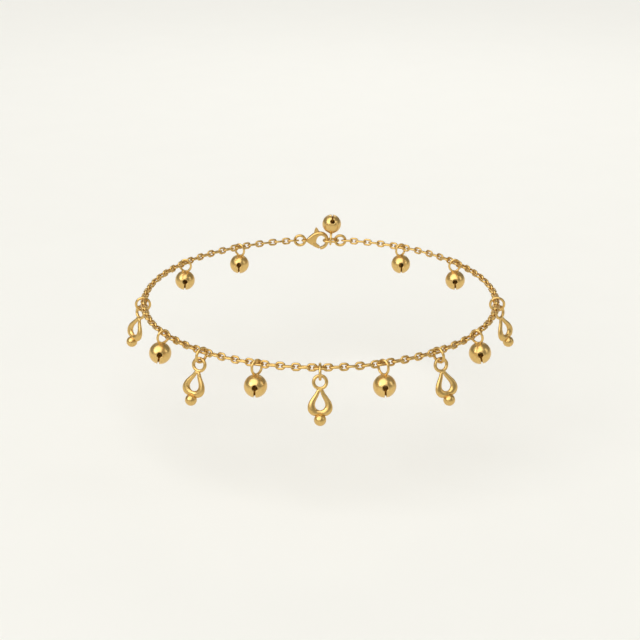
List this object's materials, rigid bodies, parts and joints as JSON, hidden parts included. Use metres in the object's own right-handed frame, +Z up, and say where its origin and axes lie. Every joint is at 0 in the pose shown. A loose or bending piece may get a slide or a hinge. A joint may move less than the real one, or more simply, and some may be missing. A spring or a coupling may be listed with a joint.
{
  "type": "anklet",
  "caption": "Fine gold chain anklet with a lobster clasp, hung with small round jingle bells and open pear-shaped wire drops that end in a ball",
  "frame": {"origin": "centre of the ring that the chain forms, on the axis of the ankle", "axes": "+Z up along the ankle, -Y the front with the middle drop, +Y the clasp, +X to the right in the picture"},
  "size_m": [0.0888, 0.0874, 0.0178],
  "materials": {
    "chain_gold": "polished gold, softly worn where the links rub",
    "ring_gold": "polished gold wire",
    "bell_gold": "polished pressed gold sheet",
    "drop_gold": "polished cast gold",
    "clasp_gold": "polished cast gold"
  },
  "bodies": {
    "anklet": {"chain": "chain_gold", "bell_1": "bell_gold", "bell_2": "bell_gold", "bell_3": "bell_gold", "bell_4": "bell_gold", "bell_5": "bell_gold", "bell_6": "bell_gold", "bell_7": "bell_gold", "bell_8": "bell_gold", "clasp_bell": "bell_gold", "drop_1": "drop_gold", "drop_2": "drop_gold", "drop_3": "drop_gold", "drop_4": "drop_gold", "drop_5": "drop_gold", "drop_ring_1": "drop_gold", "drop_ring_2": "drop_gold", "drop_ring_3": "drop_gold", "drop_ring_4": "drop_gold", "drop_ring_5": "drop_gold", "clasp_ring_left": "ring_gold", "clasp_ring_right": "ring_gold", "clasp_link": "ring_gold", "clasp_body": "clasp_gold"},
    "lever": {"clasp_lever": "clasp_gold"}
  },
  "joints": [
    {"name": "lever_hinge", "type": "hinge", "parent": "anklet", "child": "lever", "pos_m": [-0.00185, 0.03967, -0.00075], "axis": [0, -1, 0], "range_deg": [0, 18], "stiffness_Nm_per_rad": 0.005}
  ]
}
